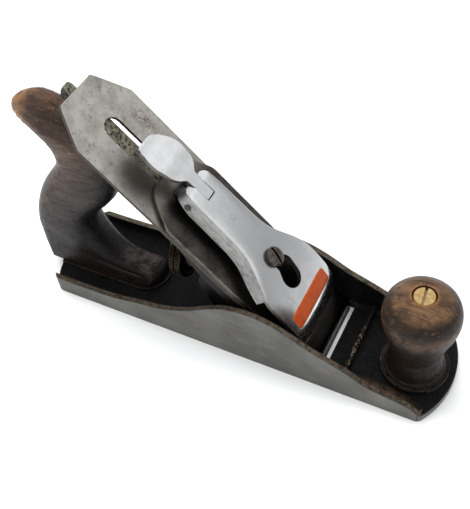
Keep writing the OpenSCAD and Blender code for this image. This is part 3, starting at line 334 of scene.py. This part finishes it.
# Frog
# A second iron casting, bolted to two seats in the floor. Its bed is milled at 45 degrees and bright, and
# the rest is japanned like the body. On the bed the x and z of the facing add up to the root of 2.
frog_iron, tree, shader, place, facing = finish_for("frog_iron")
facing_x, _, facing_z = axes(tree, facing)
bed = between(tree, plus(tree, facing_x, facing_z), 1.38, 1.4)
rub, _ = wear(tree, place, reach=0.0009)
matt = between(tree, cloud(tree, place, 140, 4, 0.6), 0.3, 0.7)
japan = mixed(tree, matt, seen(7, 7, 8), seen(15, 14, 14))
japan = tint(tree, japan, rub, seen(84, 72, 60), most=0.35)
cuts = between(tree, cloud(tree, place, 700, 3, 0.6, stretch=(1, 0.04, 1)), 0.35, 0.7)
milled = mixed(tree, cuts, seen(98, 95, 90), seen(134, 131, 126))
tone = mixed(tree, bed, japan, milled)
gloss = between(tree, bed, 0, 1, 0.38, 0.45)
shade_in(tree, shader, Base_Color=tone, Metallic=bed, Roughness=gloss, Specular_IOR_Level=0.14)
skin = times(tree, cloud(tree, place, 850, 3, 0.6), between(tree, bed, 0, 1, 1.0, 0.1))
roughen(tree, shader, skin, depth=0.0002)
dress(frog_iron, "frog")


# Screws, bolts, washers, pins, studs, springs and Y lever
# Mild steel turned on a lathe, spring steel pressed from sheet, and the Y lever's cast iron. Handling and
# oil have dulled them from grey to brown, and their slots hold dirt.
def turned_steel(name, light, dark, rough=0.38):
    """Grey steel from dark to light, with fine turning marks, rubbed corners and dirt in its slots."""
    steel, tree, shader, place, _ = finish_for(name)
    rub, dirt = wear(tree, place, reach=0.0004, spread=3.0, breakup=900.0)
    tone = mixed(tree, between(tree, cloud(tree, place, 420, 5, 0.65), 0.32, 0.68), light, dark)
    tone = tint(tree, tone, rub, seen(176, 172, 164), most=0.6)
    tone = tint(tree, tone, dirt, seen(30, 26, 22), most=0.7)
    gloss = between(tree, cloud(tree, place, 800, 4, 0.6), 0.3, 0.7, rough - 0.06, rough + 0.12)
    shade_in(tree, shader, Base_Color=tone, Metallic=1.0, Roughness=gloss)
    roughen(tree, shader, cloud(tree, place, 1500, 3, 0.6), depth=0.00003)
    return steel


dress(turned_steel("screw_steel", seen(138, 134, 126), seen(92, 86, 78)),
      "frog_bolts", "frog_washers", "frog_clip_screw", "y_lever_pin", "adjust_stud", "lateral_pin",
      "lateral_disc", "cap_iron_screw", "tote_bolt", "knob_bolt")
dress(turned_steel("blued_steel", seen(84, 88, 98), seen(56, 54, 56), rough=0.3),
      "lever_cap_spring", "frog_clip")
dress(turned_steel("y_lever_iron", seen(86, 80, 72), seen(48, 44, 40), rough=0.5), "y_lever")
dress(turned_steel("dark_steel", seen(104, 97, 92), seen(54, 49, 45), rough=0.3), "lever_cap_screw")


# Brass nuts, shifting screw and depth wheel
# Brass turned on a lathe and tarnished brown, with rubbed bright rims. Each nut has a slot for a
# screwdriver. The knurled wheel is painted nearly black with shade, apart from its rubbed rims.
def turned_brass(name, light, dark, bright):
    """Brass from dark to light with a bright colour on rubbed corners and near-black dirt in the slots."""
    brass, tree, shader, place, _ = finish_for(name)
    rub, dirt = wear(tree, place, reach=0.0005, spread=3.0, breakup=700.0)
    tone = mixed(tree, between(tree, cloud(tree, place, 380, 5, 0.65), 0.3, 0.7), light, dark)
    tone = tint(tree, tone, rub, bright, most=0.7)
    tone = tint(tree, tone, dirt, seen(34, 25, 16), most=0.8)
    gloss = between(tree, cloud(tree, place, 900, 4, 0.6), 0.3, 0.7, 0.26, 0.42)
    shade_in(tree, shader, Base_Color=tone, Metallic=1.0, Roughness=gloss)
    roughen(tree, shader, cloud(tree, place, 1400, 3, 0.6), depth=0.00003)
    return brass


dress(turned_brass("brass", seen(216, 184, 128), seen(182, 148, 96), seen(236, 214, 168)),
      "knob_nut", "tote_nut", "frog_shift_screw")
# The wheel's near-black brass is painted shade.
dress(turned_brass("wheel_brass", seen(34, 31, 27), seen(14, 13, 12), seen(142, 118, 88)), "depth_wheel")


# Lateral lever
# A bar of pressed steel with a thumb tab folded up at its end, riveted to the frog. It is pitted
# olive-grey where its plating has gone, and painted nearly black with shade on the side towards -Y.
lateral_steel, tree, shader, place, facing = finish_for("lateral_steel")
rub, _ = wear(tree, place, reach=0.0005, spread=4.0, breakup=600.0)
pits = between(tree, cloud(tree, place, 620, 5, 0.75), 0.5, 0.6)
dull = between(tree, cloud(tree, place, 160, 4, 0.6), 0.35, 0.65)
# Painted shade: faces towards -Y turn nearly black.
shaded_side = between(tree, axes(tree, facing)[1], -0.5, -0.8, 0, 0.85)
tone = mixed(tree, dull, seen(134, 132, 116), seen(106, 103, 88))
tone = tint(tree, tone, pits, seen(52, 46, 36))
tone = tint(tree, tone, shaded_side, seen(34, 32, 30))
tone = tint(tree, tone, rub, seen(164, 162, 148), most=0.6)
shade_in(tree, shader, Base_Color=tone, Metallic=0.85, Roughness=between(tree, pits, 0, 1, 0.36, 0.62))
roughen(tree, shader, calc(tree, "SUBTRACT", 1.0, pits), depth=0.00008)
dress(lateral_steel, "lateral_lever")


# Cutter
# A plate of tool steel ground flat, with a keyhole slot and clipped shoulders. Its upper face is stained
# in warm grey blotches and small dark flecks, and painted darker towards the cap iron as shade. Painted
# shade lies in a dark patch beside the slot, by the thumb pad, a rough scuffed patch lies on the slot's
# other side, and the plate's edges are dark.
pad_shade_spot = (-0.047, -0.0125, 0.1025)
scuffed = (-0.0595, 0.0172, 0.1149)
pale_above = 0.14
dark_below = 0.1
wander = 0.05
root_half = 0.7071

cutter_steel, tree, shader, place, facing = finish_for("cutter_steel")
_, y, z = axes(tree, place)
facing_x, _, facing_z = axes(tree, facing)
rub, dirt = wear(tree, place, reach=0.0005, spread=6.0, breakup=500.0)
blotch = cloud(tree, place, 120, 8, 0.72)
stain_and_shade = cloud(tree, place, 34, 6, 0.66, twist=0.3)
tone = mixed(tree, between(tree, blotch, 0.38, 0.62), seen(186, 180, 173), seen(166, 161, 154))
tone = tint(tree, tone, between(tree, stain_and_shade, 0.5, 0.68, 0, 0.65), seen(128, 123, 116))
# Painted shade: the face darkens towards the cap iron and the lever cap's top end.
shade_height = plus(tree, z, times(tree, plus(tree, y, stain_and_shade), wander))
tone = tint(tree, tone, between(tree, shade_height, pale_above, dark_below, 0, 0.4), seen(112, 106, 99))
# Painted shade in a dark patch beside the slot, by the thumb pad.
pad_shade = near(tree, place, pad_shade_spot, reach=0.019, squash=(0.8, 1.25, 0.8))
pad_shade = times(tree, pad_shade, between(tree, stain_and_shade, 0.3, 0.5))
tone = tint(tree, tone, pad_shade, seen(78, 73, 68), most=0.8)
scuff = near(tree, place, scuffed, reach=0.0115, squash=(0.8, 1.8, 0.8))
scuff = times(tree, scuff, between(tree, cloud(tree, place, 900, 5, 0.75), 0.46, 0.56))
tone = tint(tree, tone, scuff, seen(92, 80, 72), most=0.8)
flecks = between(tree, cloud(tree, place, 330, 6, 0.78), 0.57, 0.63)
tone = tint(tree, tone, flecks, seen(104, 96, 88), most=0.6)
along_normal = calc(tree, "ABSOLUTE", times(tree, plus(tree, facing_x, facing_z), root_half))
tone = tint(tree, tone, between(tree, along_normal, 0.6, 0.3), seen(66, 60, 54))
tone = tint(tree, tone, rub, seen(190, 186, 178), most=0.25)
tone = tint(tree, tone, dirt, seen(60, 53, 46), most=0.7)
shade_in(tree, shader, Base_Color=tone, Metallic=1.0, Roughness=between(tree, blotch, 0.3, 0.7, 0.4, 0.5))
roughen(tree, shader, cloud(tree, place, 900, 4, 0.65, stretch=(1, 0.12, 1)), depth=0.00003)
dress(cutter_steel, "cutter")


# Cap iron
# A softer steel plate screwed to the cutter, arched near its edge. It is polished but darkened brown by
# oil and fingers, and painted darker still for the dark reflections it shows. It is paler at its top end
# and painted nearly black with shade at its foot, under the lever cap.
def welded(node, name, material, body, smooth, reshape=None):
    """Stands in for a CAD node: the same corners, joined where its loose triangles meet, to the nearest
    half micrometre. Facets that meet at under smooth degrees shade smooth. reshape takes the array of
    corners in metres and gives it back moved."""
    steps_a_metre = 2e6
    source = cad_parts[node].data
    points = np.empty(len(source.vertices) * 3)
    source.vertices.foreach_get("co", points)
    ends = np.empty(len(source.polygons) * 3, int)
    source.polygons.foreach_get("vertices", ends)
    steps = np.round(points.reshape(-1, 3) * steps_a_metre)
    steps, index = np.unique(steps, axis=0, return_inverse=True)
    corners = steps / steps_a_metre
    faces = index.reshape(-1)[ends].reshape(-1, 3)
    faces = faces[(faces != np.roll(faces, 1, axis=1)).all(axis=1)]
    piece = shell(name, reshape(corners) if reshape else corners, faces, material, body, smooth)
    piece.modifiers.new("even_shading", "WEIGHTED_NORMAL").keep_sharp = True
    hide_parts(node)


top_end = (0.086, 0.098)
foot = (0.032, 0.02)

cap_steel, tree, shader, place, _ = finish_for("cap_iron_steel")
z = axes(tree, place)[2]
rub, dirt = wear(tree, place, reach=0.0006, spread=5.0, breakup=500.0)
blotch = cloud(tree, place, 90, 6, 0.68, twist=0.4)
# The dark tone is partly the plate's own oil stain and partly painted dark reflection.
tone = mixed(tree, between(tree, blotch, 0.35, 0.65), seen(90, 85, 81), seen(58, 53, 50))
tone = tint(tree, tone, between(tree, z, *top_end), seen(138, 131, 124))
# Painted shade at the foot, under the lever cap.
tone = tint(tree, tone, between(tree, z, *foot), seen(36, 33, 31))
tone = tint(tree, tone, rub, seen(170, 162, 150), most=0.7)
tone = tint(tree, tone, dirt, seen(34, 28, 24), most=0.6)
shade_in(tree, shader, Base_Color=tone, Metallic=1.0, Roughness=between(tree, blotch, 0.3, 0.7, 0.24, 0.4))
roughen(tree, shader, cloud(tree, place, 700, 4, 0.6), depth=0.00004)
welded("cap_iron", "cap_iron_plate", cap_steel, "cap_unit", smooth=32)


# Lever cap, cam pin and spring rivet
# The cap is a malleable iron casting, polished and nickel plated. Its top face mirrors the room, its
# flanks are ground and duller, and the plating is worn along the edges. Pin and rivet are plated like it.
def nickel(name, polish):
    """Nickel plate: mirror-like on top, and duller by streaks on the flanks, which face sideways."""
    plate, tree, shader, place, facing = finish_for(name)
    rub, dirt = wear(tree, place, reach=0.0006, spread=4.0, breakup=500.0)
    flank = between(tree, calc(tree, "ABSOLUTE", axes(tree, facing)[1]), 0.3, 0.6)
    mist = cloud(tree, place, 150, 5, 0.6)
    on_bed = put(tree, "Mapping", {"Vector": place, "Rotation": (0, np.pi / 4, 0)}).outputs[0]
    worn = between(tree, cloud(tree, on_bed, 620, 5, 0.7, stretch=(1, 1, 0.3)), 0.42, 0.66)
    tone = mixed(tree, between(tree, mist, 0.35, 0.7), seen(216, 216, 216), seen(206, 206, 205))
    dulled = times(tree, flank, between(tree, worn, 0, 1, 0.66, 0.86))
    tone = tint(tree, tone, dulled, seen(104, 102, 99))
    tone = tint(tree, tone, rub, seen(150, 146, 140), most=0.35)
    tone = tint(tree, tone, dirt, seen(72, 62, 52), most=0.5)
    blur = plus(tree, between(tree, mist, 0.3, 0.7, polish, polish + 0.06), times(tree, flank, 0.16))
    shade_in(tree, shader, Base_Color=tone, Metallic=1.0, Roughness=blur)
    roughen(tree, shader, cloud(tree, place, 2600, 2, 0.5, stretch=(1, 0.05, 1)), depth=0.000004)
    return plate


cap_nickel = nickel("lever_cap_nickel", polish=0.17)
dress(cap_nickel, "cam_pin", "spring_rivet")
welded("lever_cap", "lever_cap_casting", cap_nickel, "lever_cap_unit", smooth=40)


# Cam lever
# A nickel plated casting that turns on the cam pin and clamps the cap. Its thumb pad is a broad thin leaf
# with a blunt tip, which droops a little and leans towards -Y.
slope = np.sqrt(0.5)
edge_x = 0.0554


def to_bed(points):
    """Distances up the bed from the cutting edge, across it, and off it, of points in the plane's frame."""
    along = (points[:, 2] - points[:, 0] + edge_x) * slope
    return along, points[:, 1], (points[:, 2] + points[:, 0] - edge_x) * slope


def from_bed(along, across, off):
    """The points in the plane's frame that lie that far up the bed, across it and off it."""
    x = edge_x + slope * (off - along)
    z = slope * (off + along)
    return np.stack(np.broadcast_arrays(x, across, z), -1)


def full_pad(points):
    """The thumb pad drawn out to its full leaf. t runs from 0 at the neck to 1 at the tip. Distances up
    the bed grow by longer times t, and widths by the share that wider gives at t. The leaf droops and
    leans by the square of t."""
    neck = 0.1275
    leaf = 0.0275
    longer = 0.0022
    lean = 0.0024
    droop = 0.003
    wider_at = (0, 0.11, 0.36, 0.85, 0.95, 1)
    wider = (1, 1.25, 1.18, 1.26, 1.6, 2.9)
    along, across, off = to_bed(points)
    t = np.clip((along - neck) / leaf, 0, 1)
    width = np.interp(t, wider_at, wider)
    return from_bed(along + longer * t, across * width - lean * t ** 2, off - droop * t ** 2)


lever_nickel = nickel("cam_lever_nickel", polish=0.2)
welded("cam_lever", "cam_lever_casting", lever_nickel, "cam_lever", smooth=30, reshape=full_pad)


# Enamel panel
# Orange-red glaze fired into a shallow bed across the lever cap's nose, standing up by a thin step. It is
# plain, has round corners, and rides with the lever cap.
glaze, tree, shader, place, _ = finish_for("orange_enamel")
_, dirt = wear(tree, place, reach=0.0004, spread=3.0, breakup=900.0)
chips = between(tree, cloud(tree, place, 700, 4, 0.7), 0.66, 0.7)
fired = between(tree, cloud(tree, place, 300, 5, 0.6), 0.3, 0.7)
tone = mixed(tree, fired, seen(172, 72, 24), seen(150, 58, 20))
tone = tint(tree, tone, chips, seen(120, 60, 36), most=0.5)
tone = tint(tree, tone, dirt, seen(70, 40, 26), most=0.5)
gloss = between(tree, chips, 0, 1, 0.34, 0.55)
shade_in(tree, shader, Base_Color=tone, Roughness=gloss, Specular_IOR_Level=0.2)
roughen(tree, shader, cloud(tree, place, 500, 3, 0.5), depth=0.00003)


def enamel_panel(middle, length, width, thick):
    """Rings of a superellipse of that power, length by width, round middle on the nose. Ring r lies on the
    cap's top line, as its own corners along its middle give it, plus thick times 1 - r ** fall. The nose's
    edge bows, so a point takes the top line's height from nose_bow times the square of its share across
    further down. The last ring dips into the metal."""
    power = 8
    fall = 12
    around = 96
    nose_half = 0.0226
    nose_bow = 0.002
    crown_off = 0.0128
    on_middle = 1e-5
    dip = 0.0006
    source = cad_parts["lever_cap"].data
    cap = np.empty(len(source.vertices) * 3)
    source.vertices.foreach_get("co", cap)
    up_bed, aside, height = to_bed(cap.reshape(-1, 3))
    crown = (np.abs(aside) < on_middle) & (height > crown_off)
    order = np.argsort(up_bed[crown])
    ring = np.array([0.0, 0.3, 0.6, 0.8, 0.9, 0.96, 0.99, 1.0, 1.0])[:, None]
    turn = np.linspace(0, 2 * np.pi, around, endpoint=False)[None, :]
    across = length / 2 * ring * np.sign(np.cos(turn)) * np.abs(np.cos(turn)) ** (2 / power)
    along = middle + width / 2 * ring * np.sign(np.sin(turn)) * np.abs(np.sin(turn)) ** (2 / power)
    bow = nose_bow * (across / nose_half) ** 2
    off = np.interp(along - bow, up_bed[crown][order], height[crown][order]) + thick * (1 - ring ** fall)
    off[-1] -= dip
    points = from_bed(along, across, off).reshape(-1, 3)
    faces = strip_faces(len(ring), around, closed=True)
    shell("enamel_panel", points, faces, glaze, "lever_cap_unit", smooth=50)


enamel_panel(middle=0.0339, length=0.039, width=0.009, thick=0.0004)


# Tote and knob
# Carved and turned hardwood under dark lacquer, bolted to the body. The tote is painted black with shade
# at its foot and down the grip's toe side, where the frog and cutter shade it, and its horn is rubbed back
# to orange wood. The knob's ball shows streaks of grain over a black neck and foot.
def lacquered_wood(name, light, dark, black, rubbed, low, high, lean, tip, belt, front):
    """Wood with grain drawn out along x. It is black where its height less lean times x is under low, and
    in full colour where that is above high; on the tote this black is painted shade from the frog and
    cutter. Above the heights of horn, what lies on the heel side of x = tip is rubbed to a paler wood, as
    the outer corners and small nicks are. Hand grime lies by the share belt on slanted faces, and painted
    shade by the share front on the toe side under the heights of grip. Pale dust lies on flat faces under
    the heights of ledge."""
    horn = (0.07, 0.095)
    grip = (0.1, 0.085)
    ledge = (0.03, 0.02)
    ragged = 0.03
    wood, tree, shader, place, facing = finish_for(name)
    x, _, z = axes(tree, place)
    facing_x, _, facing_z = axes(tree, facing)
    rub, dirt = wear(tree, place, reach=0.0022, spread=3.0, breakup=260.0)
    broad = cloud(tree, place, 95, 5, 0.6, stretch=(0.25, 1, 1), twist=0.4)
    streak = cloud(tree, place, 620, 5, 0.68, stretch=(0.1, 1, 1), twist=0.3)
    mottle = cloud(tree, place, 230, 6, 0.7)
    tone = mixed(tree, between(tree, broad, 0.32, 0.66), light, dark)
    tone = tint(tree, tone, between(tree, streak, 0.42, 0.7, 0, 0.65), black)

    end = times(tree, between(tree, x, tip + 0.009, tip - 0.004), between(tree, mottle, 0.42, 0.54))
    end = times(tree, end, between(tree, z, *horn))
    tone = tint(tree, tone, end, rubbed, most=0.75)
    # On the tote this darkening low down is painted shade from the frog and cutter; on the knob it darkens
    # the neck and foot.
    height = calc(tree, "SUBTRACT", z, times(tree, x, lean))
    height = plus(tree, height, times(tree, calc(tree, "SUBTRACT", mottle, 0.5), ragged))
    low_dark = between(tree, height, high, low)
    tone = tint(tree, tone, low_dark, black, most=0.94)

    slanted = times(tree, between(tree, facing_z, 0.02, 0.3), between(tree, facing_z, 0.86, 0.62))
    grime = between(tree, cloud(tree, place, 70, 5, 0.6, stretch=(0.4, 1, 1)), 0.26, 0.44, 0, belt)
    tone = tint(tree, tone, times(tree, slanted, grime), black)
    # Painted shade on the grip's toe side.
    shaded_toe_side = times(tree, between(tree, facing_x, 0.15, 0.55), between(tree, z, *grip))
    tone = tint(tree, tone, times(tree, shaded_toe_side, front), black)

    nicks = between(tree, cloud(tree, place, 520, 6, 0.8, stretch=(0.35, 1, 1)), 0.59, 0.64)
    nicks = times(tree, nicks, between(tree, low_dark, 0.2, 0.9, 0.6, 0.08))
    tone = tint(tree, tone, nicks, rubbed)
    dust = times(tree, between(tree, facing_z, 0.8, 0.97), between(tree, z, *ledge))
    dust = times(tree, dust, between(tree, mottle, 0.4, 0.6, 0, 0.35))
    tone = tint(tree, tone, dust, seen(84, 74, 66))
    corners = times(tree, rub, between(tree, low_dark, 0, 1, 0.6, 0.06))
    tone = tint(tree, tone, corners, rubbed)
    tone = tint(tree, tone, dirt, seen(13, 11, 10), most=0.7)
    gloss = between(tree, streak, 0.3, 0.7, 0.34, 0.5)
    shade_in(tree, shader, Base_Color=tone, Roughness=gloss, Specular_IOR_Level=0.18)
    dents = plus(tree, between(tree, mottle, 0.36, 0.44), times(tree, streak, 0.6))
    roughen(tree, shader, dents, depth=0.00022)
    return wood


# The tote's black foot and toe side are painted shade.
tote_wood = lacquered_wood("tote_wood", light=seen(88, 64, 50), dark=seen(54, 41, 34),
                           black=seen(13, 11, 11), rubbed=seen(150, 108, 66),
                           low=0.14, high=0.214, lean=0.95, tip=-0.12, belt=0.3, front=0.9)
knob_wood = lacquered_wood("knob_wood", light=seen(110, 82, 58), dark=seen(62, 46, 34),
                           black=seen(15, 12, 11), rubbed=seen(146, 98, 54),
                           low=0.04, high=0.064, lean=0.0, tip=0.085, belt=0.85, front=0.0)
welded("tote", "tote_carving", tote_wood, "base", smooth=40)
welded("knob", "knob_turning", knob_wood, "base", smooth=30)
